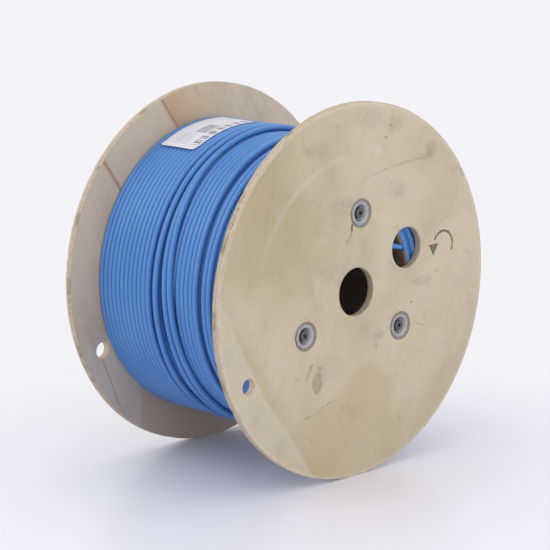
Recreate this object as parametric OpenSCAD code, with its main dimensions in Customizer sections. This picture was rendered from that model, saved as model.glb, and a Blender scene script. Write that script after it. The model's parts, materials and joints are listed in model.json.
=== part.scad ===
/* [Flanges] */
// Diameter of both flanges
flange_d = 500; // [440:1:700]
// Thickness of the flange board
flange_t = 10; // [9:0.5:18]
// Clear width between the flanges
inner_w = 272; // [230:1:420]
// Spindle bore through both flanges
bore_d = 65; // [30:1:80]
// Broken edge around both rims of a flange
edge_break = 0.8; // [0.3:0.1:1.5]

/* [Holes near the rim and the barrel] */
// Drive hole, which straddles the barrel wall
drive_hole_d = 56; // [30:1:60]
// Distance of the drive hole from the drum's axis
drive_hole_r = 107; // [100:1:112]
// Angle of the drive hole above the level
drive_angle = 25.5; // [0:0.5:40]
// Start hole near the rim
start_hole_d = 22; // [12:1:26]
// Wood left between the start hole and the rim
start_hole_margin = 21.5; // [10:0.5:25]

/* [Barrel] */
// Outside diameter of the barrel
barrel_d = 224; // [180:1:280]
// Thickness of the barrel wall
barrel_wall = 4; // [2:0.5:8]
// Depth of the groove that seats the barrel in each flange
groove_depth = 2.5; // [1:0.5:3]
// Clearance between the barrel wall and the sides of its groove
groove_clearance = 0.15; // [0.1:0.05:0.4]

/* [Tie bolts and washers] */
// Clearance between the tie bolts and the inside of the barrel
bolt_wall_gap = 1; // [0.5:0.5:6]
// Shank diameter of the tie bolts
bolt_d = 6; // [4:0.5:6]
// Diameter of the round bolt heads
head_d = 14; // [10:0.5:16]
// Height of the bolt heads
head_h = 3.2; // [2.5:0.1:4]
// Size of the hexagon socket across its flats
socket_af = 5; // [3:0.5:6]
// Depth of the hexagon socket
socket_depth = 2; // [1:0.1:2.4]
// Size of the nuts across their flats
nut_af = 10; // [8:0.5:13]
// Height of the thin nuts
nut_h = 3.2; // [2:0.1:4]
// Bolt thread that stands proud of the nut
thread_proud = 0.8; // [0:0.1:1]
// Outside diameter of the cup washers
washer_d = 35.5; // [32:0.5:38]
// Diameter of the cup's mouth
cup_mouth_d = 25; // [23:0.5:27]
// Diameter of the cup's flat floor
cup_floor_d = 17.5; // [17:0.5:20]
// Depth of the cup floor's underside below the flange face
cup_depth = 6; // [5:0.1:6.5]
// Thickness of the washer's sheet metal
washer_t = 1.2; // [0.8:0.1:1.6]
// Width of the shallow recess that shows around each washer
recess_margin = 2; // [0.5:0.1:4]
// Clearance around the shank in wood and washer
shank_clearance = 0.3; // [0.2:0.05:0.6]

/* [Cable] */
// Cable diameter
cable_d = 8; // [6:0.1:10]
// Diameter over the wound cable
pack_d = 405; // [340:1:420]
// Clearance between neighbouring turns
turn_gap = 0.3; // [0.1:0.05:0.8]
// Clearance between the turns beside the near flange
near_turn_gap = 0.1; // [0.05:0.05:0.4]
// Clearance between the spread turns below the crossing turns
spread_gap = 1.3; // [0.2:0.1:1.6]
// Turns of the top layer, counted from the far flange
top_turns = 12; // [6:1:12]
// Spread turns of the layer below, next to those that carry the top layer
spread_turns = 4; // [1:1:4]
// Turns of that layer between the spread turns and the gap
edge_turns = 5; // [1:1:5]
// Least open gap between the edge turns and the turns beside the near flange
open_gap = 8; // [2:0.5:20]
// Clearance between the outermost turns and a flange
side_gap = 0.25; // [0.1:0.05:0.6]
// Clearance between cable that lies on cable
lay_gap = 0.1; // [0.05:0.05:0.3]
// Gap between the last top turn and the first crossing turn, at the middle of its swing
crossing_gap_1 = 4.5; // [4.3:0.1:8]
// Gap between the first and second crossing turns, at the middle of their swing
crossing_gap_2 = 8.6; // [5.4:0.1:9]
// Gap between the second and third crossing turns, at the middle of their swing
crossing_gap_3 = 3.4; // [3.3:0.1:6]
// How far the first crossing turn swings to each side
crossing_swing_1 = 4; // [0:0.5:4]
// How far the second crossing turn swings to each side
crossing_swing_2 = 9; // [8:0.5:10]
// How far the third crossing turn swings to each side
crossing_swing_3 = 12; // [9:0.5:12]
// Angle at which the first crossing turn is at the middle of its swing
crossing_angle_1 = 165; // [155:1:175]
// Angle at which the second crossing turn is at the middle of its swing
crossing_angle_2 = 175; // [173:1:180]
// Angle at which the third crossing turn is at the middle of its swing
crossing_angle_3 = 179; // [175:1:180]
// Angle at which the inner end crosses the barrel wall
lead_angle = 24; // [10:0.5:35]
// Slope of the inner end where it crosses the wall
lead_slope = 12.5; // [0:0.5:20]
// Radius of the inner end's bend inside the barrel
lead_bend_r = 70; // [50:1:90]
// How far round the inner end bends
lead_bend_angle = 55; // [20:1:60]

/* [Label] */
// Width of the paper label along the drum
label_w = 66; // [30:1:80]
// Distance of the label from the far flange
label_start = 14; // [5:1:20]
// Length of the label around the winding
label_len = 124; // [60:1:220]
// Angle of the label's lower edge
label_angle = 120; // [100:1:140]
// Thickness of the label
label_t = 0.3; // [0.2:0.05:0.5]

/* [Hidden] */
$fn = 96;

flange_r = flange_d / 2;
half_w = inner_w / 2;
outer_face = half_w + flange_t;
seat_gap = 0.1;
cut_margin = 1;

barrel_r = barrel_d / 2;
barrel_inner_r = barrel_r - barrel_wall;
barrel_end = half_w + groove_depth - seat_gap;
groove_floor = half_w + groove_depth;

bolt_circle_r = barrel_inner_r - bolt_wall_gap - bolt_d / 2;
bolt_step_angle = 120;
first_bolt_angle = drive_angle + bolt_step_angle / 2;
start_hole_r = flange_r - start_hole_margin - start_hole_d / 2;
start_angle = drive_angle + 180;
recess_d = washer_d + 2 * recess_margin;
cup_floor_top = cup_depth - washer_t;
pocket_r = cup_mouth_d / 2 + washer_t + seat_gap;
shank_hole_r = bolt_d / 2 + shank_clearance;
hexagon_angle = 30;
nut_point_d = nut_af / cos(hexagon_angle);
socket_point_d = socket_af / cos(hexagon_angle);

cable_r = cable_d / 2;
cable_fn = 32;
pack_r = pack_d / 2;
turn_pitch = cable_d + turn_gap;
near_pitch = cable_d + near_turn_gap;
spread_pitch = cable_d + spread_gap;
// A turn of the top layer nests between two turns of the layer below.
layer_rise = sqrt(pow(cable_d + lay_gap, 2) - pow(turn_pitch / 2, 2));
top_r = pack_r - cable_r;
lower_r = top_r - layer_rise;
core_r = lower_r - cable_r - lay_gap;
// Half the height of the web that joins the turns of a ribbed sleeve, clear of the next layer's turns.
web_clearance = 0.3;
web_half = layer_rise - cable_r - web_clearance;
first_turn = -half_w + side_gap + cable_r;
last_turn = -first_turn;
top_row = [for (i = [0 : top_turns - 1]) first_turn + i * turn_pitch];
carrying_row = [for (i = [0 : top_turns - 1]) first_turn + (i + 0.5) * turn_pitch];
spread_start = carrying_row[top_turns - 1];
spread_row = [for (i = [1 : spread_turns]) spread_start + i * spread_pitch];
edge_start = spread_row[spread_turns - 1];
edge_row = [for (i = [1 : edge_turns]) edge_start + i * turn_pitch];
// As many turns stand beside the near flange as leave the open gap.
near_space = last_turn - edge_row[edge_turns - 1] - cable_d - open_gap;
near_steps = floor(near_space / near_pitch);
near_row = [for (i = [near_steps : -1 : 0]) last_turn - i * near_pitch];

// Crossing turns ride over the ribs of the lower layer, tilted and turned about the drum's axis.
crossing_r = lower_r + cable_d + lay_gap;
crossing_x_1 = top_row[top_turns - 1] + cable_d + crossing_gap_1;
crossing_x_2 = crossing_x_1 + cable_d + crossing_gap_2;
crossing_x_3 = crossing_x_2 + cable_d + crossing_gap_3;

lead_x = last_turn;
// The inner end crosses the wall at a slant, so its cut face stops inside the barrel's outer face.
lead_r = barrel_r - cable_r * sin(lead_angle + lead_slope) - lay_gap;
notch_clearance = 0.4;
notch_reach = barrel_wall + cable_d;

// The angle that a bolt, its washers and its nut stand at.
function bolt_angle(number) = first_bolt_angle + (number - 1) * bolt_step_angle;

// A place on the drum: x along the axis, r from the axis, a around it.
module at(x, r, a) {
    translate([x, r * cos(a), r * sin(a)]) children();
}

// Turns a shape that stands on Z so that it lies along the drum's axis.
module along_axis() {
    rotate([0, 90, 0]) children();
}

// A disc along the drum's axis from x0 to x1.
module disc(x0, x1, r) {
    translate([x0, 0, 0]) along_axis() cylinder(h = x1 - x0, r = r);
}

// A bore along the drum's axis from x0 to x1, centred at radius r and angle a.
module bore(x0, x1, hole_r, r = 0, a = 0) {
    at(x0, r, a) along_axis() cylinder(h = x1 - x0, r = hole_r);
}

// The board's outline in section, with both outer edges broken.
module flange_section() {
    polygon([
        [0, 0],
        [flange_r - edge_break, 0],
        [flange_r, edge_break],
        [flange_r, flange_t - edge_break],
        [flange_r - edge_break, flange_t],
        [0, flange_t]
    ]);
}

// The wood that a cup washer and its bolt take away, measured down from the outer face.
module washer_pocket() {
    translate([0, 0, -washer_t]) cylinder(h = washer_t + cut_margin, d = recess_d);
    translate([0, 0, -cup_depth]) cylinder(h = cup_depth, r = pocket_r);
    translate([0, 0, -flange_t - cut_margin]) cylinder(h = flange_t, r = shank_hole_r);
}

// One flange, drawn on the near side with its outer face at x = outer_face.
module flange_board() {
    difference() {
        translate([half_w, 0, 0]) along_axis() rotate_extrude() flange_section();
        bore(half_w - cut_margin, outer_face + cut_margin, bore_d / 2);
        bore(half_w - cut_margin, outer_face + cut_margin, drive_hole_d / 2, drive_hole_r, drive_angle);
        bore(half_w - cut_margin, outer_face + cut_margin, start_hole_d / 2, start_hole_r, start_angle);
        for (number = [1 : 3]) {
            at(outer_face, bolt_circle_r, bolt_angle(number)) along_axis() washer_pocket();
        }
        difference() {
            disc(half_w - cut_margin, groove_floor, barrel_r + groove_clearance);
            disc(half_w - 2 * cut_margin, groove_floor + cut_margin, barrel_inner_r - groove_clearance);
        }
    }
}

module near_flange() {
    color("burlywood") flange_board();
}

module far_flange() {
    color("tan") mirror([1, 0, 0]) flange_board();
}

// A thin tube seated in both grooves, trimmed where the drive holes were drilled through,
// and notched at the near end for the cable's inner end.
module barrel() {
    color("peru") difference() {
        disc(-barrel_end, barrel_end, barrel_r);
        disc(-barrel_end - cut_margin, barrel_end + cut_margin, barrel_inner_r);
        for (x = [-outer_face, half_w]) {
            bore(x, x + flange_t, drive_hole_d / 2 + seat_gap, drive_hole_r, drive_angle);
        }
        lead_frame()
            translate([-cable_r - notch_clearance, -notch_reach, -cable_r - notch_clearance])
                cube([barrel_end - lead_x + cable_d, 2 * notch_reach, cable_d + 2 * notch_clearance]);
    }
}

// Bolt head at +X, thread end at -X.
module tie_bolt(number) {
    head_seat = outer_face - cup_floor_top;
    thread_end = -outer_face + cup_floor_top - nut_h - thread_proud;
    color("gray") at(0, bolt_circle_r, bolt_angle(number)) difference() {
        union() {
            disc(thread_end, head_seat, bolt_d / 2);
            disc(head_seat, head_seat + head_h, head_d / 2);
        }
        translate([head_seat + head_h - socket_depth, 0, 0]) along_axis()
            cylinder(h = socket_depth + cut_margin, d = socket_point_d, $fn = 6);
    }
}

// Pressed sheet, drawn on Z with the top of its lip at zero.
module cup_washer() {
    color("silver") difference() {
        rotate_extrude() polygon([
            [0, -cup_depth],
            [cup_floor_d / 2 + washer_t / 2, -cup_depth],
            [cup_mouth_d / 2 + washer_t / 2, -washer_t],
            [washer_d / 2, -washer_t],
            [washer_d / 2, 0],
            [cup_mouth_d / 2, 0],
            [cup_floor_d / 2, -cup_floor_top],
            [0, -cup_floor_top]
        ]);
        translate([0, 0, -cup_depth - cut_margin]) cylinder(h = cup_depth, r = shank_hole_r);
    }
}

module near_cup_washer(number) {
    at(outer_face, bolt_circle_r, bolt_angle(number)) along_axis() cup_washer();
}

module far_cup_washer(number) {
    mirror([1, 0, 0]) near_cup_washer(number);
}

// Thin hexagon nut on the floor of a far washer.
module tie_nut(number) {
    nut_seat = -outer_face + cup_floor_top;
    color("silver") at(nut_seat - nut_h, bolt_circle_r, bolt_angle(number)) along_axis() difference() {
        cylinder(h = nut_h, d = nut_point_d, $fn = 6);
        translate([0, 0, -cut_margin]) cylinder(h = nut_h + 2 * cut_margin, r = bolt_d / 2 + seat_gap);
    }
}

// A wound layer: round ribs at the places in row, joined by a web.
module ribbed_sleeve(row, r) {
    along_axis() rotate_extrude() {
        for (x = row) translate([r, x]) circle(d = cable_d, $fn = cable_fn);
        translate([r - web_half, row[0]]) square([2 * web_half, row[len(row) - 1] - row[0]]);
    }
}

// All hidden layers: one thick sleeve, with the end turn of every second layer standing out.
module cable_inner_layers() {
    sleeve_r = barrel_r + lay_gap;
    first_r = sleeve_r + cable_r;
    end_steps = floor((core_r - cable_r - first_r) / (2 * layer_rise));
    color("steelblue") along_axis() rotate_extrude() {
        translate([sleeve_r, first_turn]) square([core_r - sleeve_r, last_turn - first_turn]);
        for (i = [0 : end_steps], x = [first_turn, last_turn]) {
            translate([first_r + 2 * i * layer_rise, x]) circle(d = cable_d, $fn = cable_fn);
        }
    }
}

module cable_lower_layer() {
    color("royalblue") ribbed_sleeve(concat(carrying_row, spread_row, edge_row), lower_r);
}

module cable_near_turns() {
    color("dodgerblue") ribbed_sleeve(near_row, lower_r);
}

module cable_top_layer() {
    color("cornflowerblue") ribbed_sleeve(top_row, top_r);
}

// One turn tilted across the ribs below it.
module cable_crossing_turn(middle, swing, middle_angle) {
    tilt = asin(swing / crossing_r);
    color("deepskyblue") translate([middle, 0, 0]) rotate([middle_angle + 90, 0, 0])
        rotate([0, 0, -tilt]) along_axis() rotate_extrude() translate([crossing_r / cos(tilt), 0])
            circle(d = cable_d, $fn = cable_fn);
}

// The place where the inner end crosses the barrel wall, with +Y outwards along the cable.
module lead_frame() {
    at(lead_x, lead_r, lead_angle) rotate([-lead_slope, 0, 0]) children();
}

// A stub that comes through the notch and bends away from the near flange.
module cable_inner_end() {
    color("deepskyblue") lead_frame() translate([-lead_bend_r, 0, 0]) rotate([0, 0, -lead_bend_angle])
        rotate_extrude(angle = lead_bend_angle) translate([lead_bend_r, 0]) circle(d = cable_d);
}

// A strip of paper that lies on the top layer.
module label() {
    label_r = pack_r + lay_gap;
    sweep_angle = 360 * label_len / (2 * PI * label_r);
    color("white") translate([-half_w + label_start, 0, 0]) rotate([label_angle - sweep_angle, 0, 0])
        along_axis() rotate([0, 0, 90]) rotate_extrude(angle = sweep_angle)
            translate([label_r, 0]) square([label_t, label_w]);
}

near_flange();
far_flange();
barrel();
tie_bolt(1);  // tie_bolt_1
tie_bolt(2);  // tie_bolt_2
tie_bolt(3);  // tie_bolt_3
near_cup_washer(1);  // near_cup_washer_1
near_cup_washer(2);  // near_cup_washer_2
near_cup_washer(3);  // near_cup_washer_3
far_cup_washer(1);  // far_cup_washer_1
far_cup_washer(2);  // far_cup_washer_2
far_cup_washer(3);  // far_cup_washer_3
tie_nut(1);  // tie_nut_1
tie_nut(2);  // tie_nut_2
tie_nut(3);  // tie_nut_3
cable_inner_layers();
cable_lower_layer();
cable_near_turns();
cable_top_layer();
cable_crossing_turn(crossing_x_1, crossing_swing_1, crossing_angle_1);  // cable_crossing_turn_1
cable_crossing_turn(crossing_x_2, crossing_swing_2, crossing_angle_2);  // cable_crossing_turn_2
cable_crossing_turn(crossing_x_3, crossing_swing_3, crossing_angle_3);  // cable_crossing_turn_3
cable_inner_end();
label();
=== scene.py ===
import json
import math
import random
from collections import namedtuple

import bpy
from mathutils import Matrix, Vector


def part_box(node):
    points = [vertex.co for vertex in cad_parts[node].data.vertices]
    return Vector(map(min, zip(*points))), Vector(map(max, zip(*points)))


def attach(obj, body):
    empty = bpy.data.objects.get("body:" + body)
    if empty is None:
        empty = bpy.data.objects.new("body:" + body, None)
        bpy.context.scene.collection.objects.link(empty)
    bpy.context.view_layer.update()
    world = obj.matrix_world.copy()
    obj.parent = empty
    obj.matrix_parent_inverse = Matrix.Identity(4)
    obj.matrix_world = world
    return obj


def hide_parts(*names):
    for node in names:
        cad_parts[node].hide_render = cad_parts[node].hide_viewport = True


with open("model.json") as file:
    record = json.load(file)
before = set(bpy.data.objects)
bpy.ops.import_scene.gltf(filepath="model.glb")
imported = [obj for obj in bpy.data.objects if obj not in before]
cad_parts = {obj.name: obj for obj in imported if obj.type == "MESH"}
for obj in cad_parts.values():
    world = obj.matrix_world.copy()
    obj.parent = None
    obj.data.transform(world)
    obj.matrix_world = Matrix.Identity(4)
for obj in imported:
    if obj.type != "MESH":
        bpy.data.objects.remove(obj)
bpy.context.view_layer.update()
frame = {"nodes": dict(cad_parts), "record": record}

MM = 0.001
BODY = "root"
MOUNTS = {mount["name"]: mount for mount in frame["record"]["mounts"]}
OPENINGS = {opening["name"]: opening for opening in frame["record"]["physics"]["openings"]}

# ---------------------------------------------------------------- sizes, in metres

FLANGE_LOW, FLANGE_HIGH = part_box("near_flange")
INNER_X = FLANGE_LOW[0]
OUTER_X = FLANGE_HIGH[0]
FLANGE_R = FLANGE_HIGH[2]
FLANGE_T = OUTER_X - INNER_X
# Places on a flange face are given as shares of its radius.
R = FLANGE_R
EDGE_BREAK = 0.8 * MM
BORE_R = MOUNTS["spindle_bore"]["dims"]["r_mm"] * MM
DRIVE_HOLE_R = MOUNTS["near_drive_hole"]["dims"]["r_mm"] * MM
DRIVE_PLACE = MOUNTS["near_drive_hole"]["pos_m"][1:]
START_HOLE_R = 11 * MM
BARREL_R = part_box("barrel")[1][2]
BARREL_INNER_R = BARREL_R - 4 * MM
GROOVE_DEPTH = 2.5 * MM
GROOVE_GAP = 0.15 * MM

WASHER_R = 17.75 * MM
WASHER_T = 1.2 * MM
CUP_MOUTH_R = 12.5 * MM
CUP_FLOOR_R = 8.75 * MM
CUP_DEPTH = 6 * MM
LIP_DROP = 0.5 * MM
RECESS_R = 19.75 * MM
POCKET_R = 13.8 * MM
SHANK_R = 3 * MM
SHANK_HOLE_R = 3.3 * MM
HEAD_R = 7 * MM
HEAD_H = 3.2 * MM
SOCKET_R = 2.9 * MM
SOCKET_DEPTH = 2 * MM
NUT_POINT_R = 5.77 * MM
NUT_H = 3.2 * MM
NUT_GAP = 0.1 * MM
THREAD_PROUD = 0.8 * MM

CABLE_R = 4 * MM
LAY_GAP = 0.1 * MM
TURN_PITCH = 8.3 * MM
NEAR_PITCH = 8.1 * MM
SPREAD_PITCH = 9.3 * MM
LABEL_ANGLE = math.radians(120)
LABEL_LENGTH = 124 * MM
LABEL_T = 0.2 * MM
TOP_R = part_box("cable_top_layer")[1][2] - CABLE_R
LOWER_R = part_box("cable_lower_layer")[1][2] - CABLE_R
LAYER_RISE = TOP_R - LOWER_R
CROSSING_R = LOWER_R + 2 * CABLE_R + LAY_GAP
FIRST_TURN_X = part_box("cable_top_layer")[0][0] + CABLE_R

START_PLACE = [(low + high) / 2 for low, high in zip(*OPENINGS["near_start_hole"]["box_m"])][1:]


def middle(node):
    """The centre of a node's box, across the drum's axis."""
    low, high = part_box(node)
    return ((low[1] + high[1]) / 2, (low[2] + high[2]) / 2)


BOLT_PLACES = [middle(f"near_cup_washer_{number}") for number in (1, 2, 3)]


# ---------------------------------------------------------------- camera and lamps

CAMERA_AZIMUTH = math.radians(45.35)
CAMERA_HEIGHT = math.radians(11.76)
CAMERA_DISTANCE = 13.39 * FLANGE_R
CAMERA_LENS = 162.1
CAMERA_ASIDE = 3.8 * MM
CAMERA_RISE = 1 * MM
SENSOR_WIDTH = 36


def place_camera():
    """Looks at the drum's centre from its azimuth and height, and is moved a little aside."""
    back = Vector((
        math.sin(CAMERA_AZIMUTH) * math.cos(CAMERA_HEIGHT),
        -math.cos(CAMERA_AZIMUTH) * math.cos(CAMERA_HEIGHT),
        math.sin(CAMERA_HEIGHT),
    ))
    right = Vector((math.cos(CAMERA_AZIMUTH), math.sin(CAMERA_AZIMUTH), 0))
    up = back.cross(right)
    data = bpy.data.cameras.new("camera")
    data.lens = CAMERA_LENS
    data.sensor_width = SENSOR_WIDTH
    camera = bpy.data.objects.new("camera", data)
    bpy.context.collection.objects.link(camera)
    turn = Matrix((right, up, back)).transposed().to_4x4()
    place = back * CAMERA_DISTANCE - right * CAMERA_ASIDE + up * CAMERA_RISE
    camera.matrix_world = Matrix.Translation(place) @ turn
    bpy.context.scene.camera = camera


def add_lamp(name, place, size, power):
    """A round soft box that shines at the drum's centre."""
    data = bpy.data.lights.new(name, "AREA")
    data.shape = "DISK"
    data.size = size
    data.energy = power
    lamp = bpy.data.objects.new(name, data)
    bpy.context.collection.objects.link(lamp)
    lamp.location = place
    lamp.rotation_euler = (-Vector(place)).to_track_quat("-Z", "Y").to_euler()


place_camera()


# ---------------------------------------------------------------- materials

class Value:
    """One socket of a material. Arithmetic on it adds Math nodes to the material."""

    def __init__(self, finish, socket):
        self.finish = finish
        self.socket = socket

    def __add__(self, other):
        return self.finish.math("ADD", self, other)

    def __radd__(self, other):
        return self.finish.math("ADD", other, self)

    def __sub__(self, other):
        return self.finish.math("SUBTRACT", self, other)

    def __rsub__(self, other):
        return self.finish.math("SUBTRACT", other, self)

    def __mul__(self, other):
        return self.finish.math("MULTIPLY", self, other)

    def __rmul__(self, other):
        return self.finish.math("MULTIPLY", other, self)

    def __truediv__(self, other):
        return self.finish.math("DIVIDE", self, other)

    def __rtruediv__(self, other):
        return self.finish.math("DIVIDE", other, self)

    def __pow__(self, other):
        return self.finish.math("POWER", self, other)

    def __abs__(self):
        return self.finish.math("ABSOLUTE", self)


class Finish:
    """A material with one Principled shader, and the helpers that draw on it."""

    def __init__(self, name, **constants):
        self.material = bpy.data.materials.new(name)
        self.material.use_nodes = True
        self.tree = self.material.node_tree
        self.shader = self.tree.nodes["Principled BSDF"]
        for socket, number in constants.items():
            self.shader.inputs[socket.replace("_", " ")].default_value = number
        self.place = self.node("ShaderNodeTexCoord", output="Object")
        parts = self.node("ShaderNodeSeparateXYZ", inputs={"Vector": self.place}).socket.node
        self.x, self.y, self.z = (Value(self, parts.outputs[axis]) for axis in "XYZ")

    def node(self, kind, settings=None, inputs=None, output=0):
        """Adds any node: its settings first, then the values or links of its sockets."""
        node = self.tree.nodes.new(kind)
        for setting, choice in (settings or {}).items():
            setattr(node, setting, choice)
        for socket, given in (inputs or {}).items():
            self.feed(node.inputs[socket], given)
        return Value(self, node.outputs[output])

    def feed(self, socket, given):
        """Links a value to a socket, or sets the socket to a number or colour."""
        if isinstance(given, Value):
            self.tree.links.new(given.socket, socket)
        else:
            socket.default_value = given

    def math(self, operation, *values):
        return self.node("ShaderNodeMath", {"operation": operation}, dict(enumerate(values)))

    def hypot(self, across, along):
        return self.math("SQRT", across ** 2 + along ** 2)

    def mix(self, mask, low, high):
        """Colour low where mask is 0, high where it is 1."""
        return self.node(
            "ShaderNodeMix", {"data_type": "RGBA"}, {"Factor": mask, 6: low, 7: high}, output=2
        )

    def step(self, value, low, high):
        """0 below low, 1 above high, smooth between; the other way round if high is below low."""
        return self.node(
            "ShaderNodeMapRange", {"interpolation_type": "SMOOTHSTEP"},
            {"Value": value, "From Min": low, "From Max": high},
        )

    def between(self, value, low, high, blur):
        """1 between low and high, fading to 0 over a width of blur inside either."""
        return self.step(value, low, low + blur) * self.step(value, high, high - blur)

    def stretch(self, scale, turn=0.0):
        """Object coordinates, turned about the drum's axis and then scaled along each axis."""
        turned = self.node(
            "ShaderNodeMapping", {"vector_type": "POINT"},
            {"Vector": self.place, "Rotation": (turn, 0, 0)},
        )
        return self.node(
            "ShaderNodeVectorMath", {"operation": "MULTIPLY"}, {0: turned, 1: scale}
        )

    def noise(self, scale, detail=3.0, vector=None, roughness=0.55, distortion=0.0):
        return self.node("ShaderNodeTexNoise", inputs={
            "Vector": vector or self.place, "Scale": scale, "Detail": detail,
            "Roughness": roughness, "Distortion": distortion,
        })

    def specks(self, scale, size):
        """1 on small scattered specks, 0 between them."""
        distance = self.node("ShaderNodeTexVoronoi", inputs={
            "Vector": self.place, "Scale": scale, "Randomness": 1.0,
        })
        return self.step(distance, size, size * 0.4)

    def spot(self, centre, radius_y, radius_z, soft=1.0):
        """1 at the centre of an oval spot on a flange face, falling to 0 at its rim."""
        across = (self.y - centre[0] * R) / radius_y
        along = (self.z - centre[1] * R) / radius_z
        return self.step(across * across + along * along, 1.0, 1.0 - soft)

    def beside(self, start, end, bow=0.0):
        """How far along a line on a flange face a point lies, 0 to 1, and how far to its left."""
        start = Vector(start) * R
        direction = Vector(end) * R - start
        length = direction.length
        direction.normalize()
        across = self.y - start.x
        above = self.z - start.y
        share = (across * direction.x + above * direction.y) / length
        aside = above * direction.x - across * direction.y
        return share, aside - share * (1 - share) * 4 * bow

    def streak(self, start, end, width, bow=0.0, wander=0.0):
        """1 on a thin line on a flange face, bowed sideways, and jagged where wander isn't 0."""
        share, aside = self.beside(start, end, bow)
        if wander:
            aside = aside + (self.noise(130, detail=4) - 0.5) * wander
        line = self.step(abs(aside), width, width * 0.3)
        ends = self.step(share, 0.0, 0.08) * self.step(share, 1.0, 0.85)
        return line * ends

    def bump(self, height, distance, strength=1.0):
        normal = self.node("ShaderNodeBump", inputs={
            "Strength": strength, "Distance": distance, "Height": height,
        })
        self.feed(self.shader.inputs["Normal"], normal)

    def set(self, **sockets):
        for socket, given in sockets.items():
            self.feed(self.shader.inputs[socket.replace("_", " ")], given)


def rgb(red, green, blue):
    """A colour as it reads on a screen, 0 to 255, as the linear colour that shaders use."""
    def linear(value):
        value /= 255
        return value / 12.92 if value <= 0.04045 else ((value + 0.055) / 1.055) ** 2.4
    return (linear(red), linear(green), linear(blue), 1.0)


BACKDROP = rgb(244, 243, 247)
FLOOR_COLOUR = rgb(227, 227, 235)
FADE_CENTRE = 0.13
FADE_START = 0.22
FADE_END = 0.80
GLOW = 1.12


def veneer(name, pale, tan, dark, grain_turn, grain=1.0):
    """Bare peeled veneer: soft patches of two tones, and fine streaks along the grain."""
    wood = Finish(name, Roughness=0.62, Specular_IOR_Level=0.35)
    patches = wood.noise(7.0, detail=4, distortion=0.6)
    along_grain = wood.stretch((1, 1, 0.06), turn=grain_turn)
    streaks = wood.noise(240, detail=4, vector=along_grain, roughness=0.7)
    bands = wood.noise(26 / grain, detail=3, vector=along_grain)
    mottle = wood.noise(55, detail=5, roughness=0.65)
    colour = wood.mix(wood.step(patches, 0.38, 0.66), pale, tan)
    colour = wood.mix(wood.step(bands, 0.52, 0.72) * 0.35, colour, tan)
    colour = wood.mix(wood.step(bands, 0.50, 0.66) * 0.14 * (grain - 1), colour, dark)
    colour = wood.mix(wood.step(streaks, 0.52, 0.78) * 0.16 * grain, colour, dark)
    colour = wood.mix(wood.step(mottle, 0.56, 0.78) * 0.16, colour, dark)
    wood.bump(streaks * 0.6 + mottle * 0.4, 0.12 * MM, 0.5)
    return wood, colour


# Grey handling smudges on the near face: centre, half width and half height in mm, softness,
# and strength.
SMUDGES = (
    ((-0.288, -0.445), 11, 17, 0.5, 0.45),
    ((-0.270, -0.364), 7, 3, 0.9, 0.30),
    ((0.574, 0.700), 15, 13, 1.0, 0.38),
    ((0.540, 0.660), 22, 7, 1.0, 0.22),
    ((0.332, 0.500), 20, 14, 1.0, 0.22),
    ((0.515, -0.012), 26, 9, 0.9, 0.24),
    ((0.186, -0.262), 12, 7, 0.9, 0.36),
    ((-0.10, 0.46), 34, 18, 1.0, 0.24),
    ((0.30, 0.10), 24, 16, 1.0, 0.18),
    ((0.28, 0.86), 24, 15, 1.0, 0.22),
    ((-0.30, 0.78), 30, 14, 1.0, 0.20),
    ((-0.195, -0.388), 36, 26, 1.0, 0.14),
    ((0.095, 0.90), 40, 16, 1.0, 0.13),
)
ARROW_PLACE = (0.68, 0.16)
ARROW_R = 19 * MM
RUBBED_ARC_R = 0.728 * R
RUBBED_EDGE = (0.978 * R, 0.990 * R)
# Where the sheets of veneer on the near face meet.
UPPER_SEAM = ((-0.50, 0.70), (-0.20, -0.38))
LEFT_JOINT = ((-0.975, 0.096), (-0.37, -0.87))
FOOT_LEFT = (-0.46, -0.68)
FOOT_PEAK = (0.13, -0.37)
FOOT_RIGHT = (0.44, -0.70)


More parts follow.
